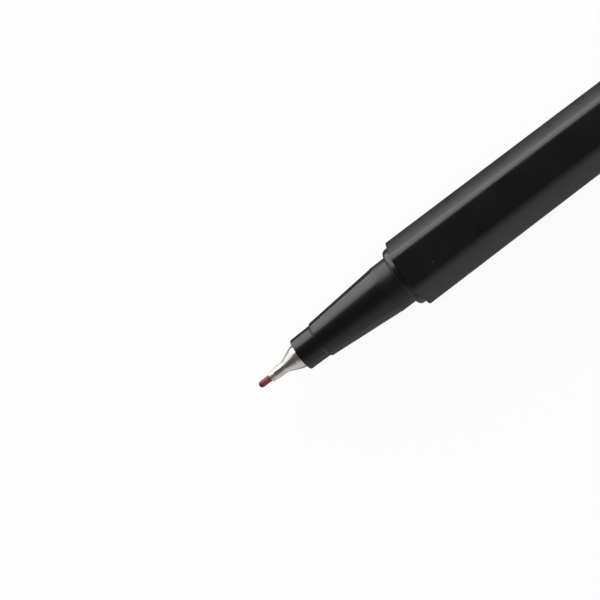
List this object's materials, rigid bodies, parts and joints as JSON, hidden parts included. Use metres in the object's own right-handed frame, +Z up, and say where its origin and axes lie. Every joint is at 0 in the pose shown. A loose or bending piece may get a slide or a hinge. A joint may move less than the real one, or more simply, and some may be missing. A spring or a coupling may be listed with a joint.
{
  "type": "fineliner pen",
  "caption": "Hexagonal fineliner pen with a fine plastic tip in a flared metal sleeve, a tapered grip section with a collar, and a clip cap posted on its rear end.",
  "frame": {"origin": "middle of the footprint of the pen as it lies on one flat of its barrel, on the table", "axes": "+X along the pen from the writing point to the rear, +Y across it, +Z up through the clip"},
  "size_m": [0.17, 0.0092, 0.0103],
  "materials": {
    "stained_tip": "extruded, stained by ink",
    "nickel": "bright nickel plate",
    "black_grip": "semi-gloss moulded",
    "black_barrel": "satin moulded",
    "ink_fibre": "bonded fibre soaked with ink",
    "film": "clear film",
    "red_plug": "semi-gloss moulded",
    "black_cap": "semi-gloss moulded",
    "natural_liner": "natural, soft",
    "red_crown": "semi-gloss moulded"
  },
  "bodies": {
    "pen": {"barrel": "black_barrel", "grip_section": "black_grip", "metal_adapter": "nickel", "writing_tip": "stained_tip", "ink_reservoir": "ink_fibre", "reservoir_wrap": "film", "end_plug": "red_plug"},
    "cap": {"cap_shell": "black_cap", "cap_liner": "natural_liner", "cap_crown": "red_crown"}
  },
  "joints": [
    {"name": "cap_pull", "type": "slide", "parent": "pen", "child": "cap", "axis": [1, 0, 0], "range_m": [0, 0.02]}
  ]
}
